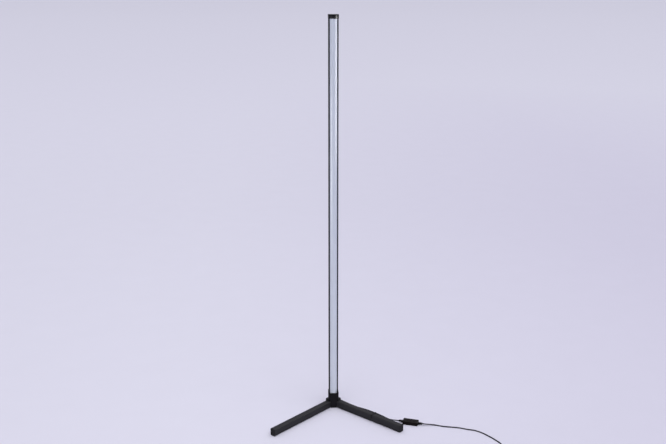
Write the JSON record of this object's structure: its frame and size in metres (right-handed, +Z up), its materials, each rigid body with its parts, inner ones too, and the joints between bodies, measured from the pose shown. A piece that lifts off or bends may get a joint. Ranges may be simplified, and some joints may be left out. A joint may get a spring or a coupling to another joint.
{
  "type": "corner floor lamp",
  "caption": "Slim corner floor lamp: upright black column with a convex milky light cover, V-shaped foot and an in-line controller on its cord.",
  "frame": {"origin": "on the floor, at the middle of the hub, under the crossing of the two leg axes", "axes": "+Z up along the column, -Y towards the room (the light side and the opening of the V), +X to the viewer's right"},
  "size_m": [0.8397, 0.481, 1.4],
  "materials": {
    "black_aluminium": "satin anodised",
    "black_coated_steel": "satin powder coat",
    "cast_aluminium": "as cast",
    "opal_plastic": "milky, glossy",
    "black_gloss": "gloss",
    "black_moulded": "fine grain",
    "brown_black_plastic": "satin",
    "black_rubber": "matt",
    "cord_jacket": "satin",
    "steel": "zinc plated",
    "black_steel": "blackened",
    "nickel": "nickel plated",
    "strip_white": "satin",
    "chip_yellow": "gloss",
    "white_plastic": "satin",
    "board_green": "solder mask"
  },
  "bodies": {
    "lamp": {"profile_lower": "black_aluminium", "profile_middle": "black_aluminium", "profile_upper": "black_aluminium", "diffuser_lower": "opal_plastic", "diffuser_middle": "opal_plastic", "diffuser_upper": "opal_plastic", "splice_lower": "cast_aluminium", "splice_upper": "cast_aluminium", "grub_screws": "black_steel", "light_strip": "strip_white", "light_chips": "chip_yellow", "strip_connector": "white_plastic", "inner_lead": "cord_jacket", "top_cap": "black_gloss", "hub_body": "black_moulded", "hub_screws": "steel", "corner_bracket": "cast_aluminium", "bottom_cover": "black_moulded", "cover_screws": "steel", "hub_pad": "black_rubber", "leg_left": "black_coated_steel", "leg_right": "black_coated_steel", "leg_screws": "steel", "leg_plug_left": "black_moulded", "leg_plug_right": "black_moulded", "leg_foot_left": "black_rubber", "leg_foot_right": "black_rubber", "cord_grommet": "black_rubber", "lead_cord": "cord_jacket", "cord_clip": "black_moulded", "controller_base": "brown_black_plastic", "controller_cover": "brown_black_plastic", "controller_screws": "steel", "controller_board": "board_green", "controller_switches": "black_moulded", "relief_in": "black_rubber", "relief_out": "black_rubber", "supply_cord": "cord_jacket", "cord_coil": "cord_jacket", "plug_cord": "cord_jacket", "plug_body": "black_moulded", "plug_shell": "nickel", "plug_tongue": "white_plastic"},
    "button_left": {"button_left": "brown_black_plastic"},
    "button_middle": {"button_middle": "brown_black_plastic"},
    "button_right": {"button_right": "brown_black_plastic"}
  },
  "joints": [
    {"name": "press_left", "type": "slide", "parent": "lamp", "child": "button_left", "axis": [0, 0, 1], "range_m": [-0.0005, 0], "stiffness_N_per_m": 1500},
    {"name": "press_middle", "type": "slide", "parent": "lamp", "child": "button_middle", "axis": [0, 0, 1], "range_m": [-0.0005, 0], "stiffness_N_per_m": 1500},
    {"name": "press_right", "type": "slide", "parent": "lamp", "child": "button_right", "axis": [0, 0, 1], "range_m": [-0.0005, 0], "stiffness_N_per_m": 1500}
  ]
}
